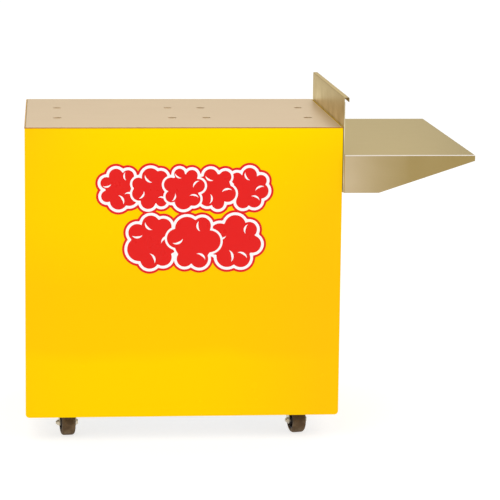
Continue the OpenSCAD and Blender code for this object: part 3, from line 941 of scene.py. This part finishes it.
@dataclass
class Decal:
    """Die-cut vinyl of overlapping puffs, printed in red and white.

    Attributes:
        upper: Number, radius and pitch of the upper row's puffs.
        lower: The same for the lower row.
        drop: How far the upper row's middles lie below the decal's top.
        rise: How far the lower row's middles lie above its foot.
        aside: How far the lower row stands to the right.
        film: Thickness of the vinyl.
        keyline: Width of the thin line round the whole.
        border: Width of the white border inside it.
        rim: Width of the white rim between puffs.
    """

    upper: tuple[int, float, float] = (5, 75 * MM, 92 * MM)
    lower: tuple[int, float, float] = (3, 93 * MM, 118 * MM)
    drop: float = 76 * MM
    rise: float = 94 * MM
    aside: float = 28 * MM
    film: float = 0.3 * MM
    keyline: float = 6.5 * MM
    border: float = 8.0 * MM
    rim: float = 6.0 * MM

    def puffs(self) -> list[Puff]:
        """The puffs from the lowest in the stack to the topmost.

        Returns:
            The outer puffs of each row first and its middle one last; the lower row is on top.
        """
        low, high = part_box("front_decal")
        middle = (low.x + high.x) / 2
        draw = random.Random(11)
        made = []
        rows = ((self.upper, middle, high.z - self.drop),
                (self.lower, middle + self.aside, low.z + self.rise))
        for (count, radius, pitch), x, z in rows:
            places = [i - (count - 1) / 2 for i in range(count)]
            for place in sorted(places, key=lambda place: (-abs(place), place)):
                lobes = draw.choice((6, 7))
                made.append(Puff.popped(x + place * pitch, z, radius, lobes, draw))
        return made

    def stickers(self) -> list[tuple[Ink, list[Point2]]]:
        """Every inked outline, from the lowest in the stack to the topmost.

        Returns:
            Ink and outline of each.
        """
        puffs = self.puffs()
        inset = self.keyline + self.border
        stack = [(Ink.KEYLINE, puff.outline(0.0)) for puff in puffs]
        stack += [(Ink.WHITE, puff.outline(-self.keyline)) for puff in puffs]
        for puff in puffs:
            stack.append((Ink.WHITE, puff.outline(self.rim - inset)))
            stack.append((Ink.RED, puff.outline(-inset)))
            stack += [(Ink.WHITE, curl) for curl in puff.curls()]
        return stack

    def build(self) -> None:
        """Cuts the stack into one flat map of inks and gives each ink's cells their thickness."""
        stack = self.stickers()
        points = [Vector(point) for _, outline in stack for point in outline]
        starts = list(itertools.accumulate((len(outline) for _, outline in stack), initial=0))
        faces = [list(range(start, end)) for start, end in zip(starts, starts[1:])]
        flat, _, cells, _, _, owners = delaunay_2d_cdt(points, [], faces, 1, 1e-7)
        finishes = {Ink.KEYLINE: VINYL_RED, Ink.WHITE: VINYL_WHITE, Ink.RED: VINYL_RED}
        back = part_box("front_decal")[1].y
        for ink, finish in finishes.items():
            owned = [cell for cell, owner in zip(cells, owners)
                     if owner and stack[max(owner)][0] is ink]
            mesh = self._lift(flat, owned, back)
            piece = make_piece(ink.value, mesh, finish, "cart", 20.0)
            if ink is Ink.KEYLINE:
                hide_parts("front_decal")

    def _lift(self, flat: Sequence[Vector], cells: Iterable[Sequence[int]],
              back: float) -> bmesh.types.BMesh:
        """Gives flat cells the vinyl's thickness.

        Args:
            flat: Points in X and Z.
            cells: The cells, as indices of points.
            back: Y of the back.

        Returns:
            The mesh.
        """
        mesh = bmesh.new()
        corners = {}
        for cell in cells:
            for index in cell:
                if index not in corners:
                    corners[index] = mesh.verts.new((flat[index].x, back, flat[index].y))
            mesh.faces.new([corners[index] for index in cell])
        lifted = bmesh.ops.extrude_face_region(mesh, geom=list(mesh.faces), use_keep_orig=True)
        verts = [item for item in lifted["geom"] if isinstance(item, bmesh.types.BMVert)]
        bmesh.ops.translate(mesh, verts=verts, vec=(0, -self.film, 0))
        return mesh


@dataclass
class SplashPlate:
    """Upright plate on the counter's right, with its spacers and fasteners."""

    def build(self) -> None:
        """Dresses the plate."""
        foot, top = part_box("counter_top")[1].z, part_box("splash_plate")[1].z
        # Painted reflection: the plate darkens towards its top, with strong cloudy patches.
        steel = ReflectionGradedSteel(
            "splash_steel", (0.84, 0.75, 0.53), tint=(0.86, 0.74, 0.50), roughness=0.32, metallic=1.0,
            wave=14.0, reflection_patch_strength=0.9, reflection_patch_colour=(0.47, 0.375, 0.18), grain=Grain.ALONG_Y, along="Z",
            start=foot, end=top, far=(0.45, 0.365, 0.21))
        dress("splash_plate", steel)
        dress("splash_spacers", WHITE_PLASTIC)
        for node in ("splash_screws", "splash_nuts"):
            dress(node, ZINC)


@dataclass
class SideShelf:
    """Folded shelf with its doubler, stiffener and bolts."""

    def build(self) -> None:
        """Dresses the shelf."""
        low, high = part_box("side_shelf")
        # Painted reflection: the gussets darken towards their tips; painted highlight on the front
        # fold.
        steel = ShelfSteel(
            "shelf_steel", (0.62, 0.49, 0.30), tint=(0.84, 0.75, 0.55), roughness=0.34, metallic=1.0,
            wave=7.0, grain=Grain.ALONG_X, reflection_patch_colour=(0.48, 0.37, 0.19), start=low.x + 20 * MM,
            end=low.x + 0.5 * (high.x - low.x),
            far=(0.388, 0.282, 0.107), face=(0.47, 0.39, 0.225), top=high.z, front=low.y)
        dress("side_shelf", steel)
        for node in ("shelf_doubler", "shelf_stiffener"):
            dress(node, COUNTER_STEEL)
        for node in ("shelf_bolts", "shelf_nuts"):
            dress(node, ZINC)


@dataclass
class RearDoor:
    """One rear door with everything that swings with it.

    Attributes:
        side: Which door it is.
        enamel: The cabinet's enamel.
    """

    side: str
    enamel: Paint

    def build(self) -> None:
        """Dresses the door."""
        dress(f"{self.side}_door", self.enamel)
        dress(f"{self.side}_door_liner", SPANGLE)
        dress(f"{self.side}_door_handle", CHROME)
        for part in ("handle_screws", "strike", "door_hinge_leaves", "hinge_screws"):
            dress(f"{self.side}_{part}", ZINC)


@dataclass
class Caster:
    """One swivel caster.

    Attributes:
        corner: The cabinet's corner that it stands at.
    """

    corner: str

    def build(self) -> None:
        """Dresses the caster."""
        dress(f"{self.corner}_fork", ZINC)
        dress(f"{self.corner}_axle", ZINC)
        dress(f"{self.corner}_hub", HUB_PLASTIC)
        dress(f"{self.corner}_tyre", TYRE_RUBBER)


def main() -> None:
    """Builds every piece around the frame, in order."""
    logging.basicConfig(level=logging.INFO)
    cabinet = Cabinet()
    enamel = cabinet.enamel()
    parts = [Viewpoint(), Studio(), cabinet, Decal(), SplashPlate(), SideShelf()]
    parts += [RearDoor(side, enamel) for side in ("left", "right")]
    parts += [Caster(f"{end}_{side}") for end in ("front", "rear") for side in ("left", "right")]
    for part in parts:
        part.build()
        LOG.info("built %s", part)
    for node in ("hinge_frame_leaves", "hinge_frame_screws", "hinge_pins", "caster_plates",
                 "caster_kingpins", "caster_bolts", "caster_nuts"):
        dress(node, ZINC)
    dress("door_catches", WHITE_PLASTIC)


if __name__ == "__main__":
    main()
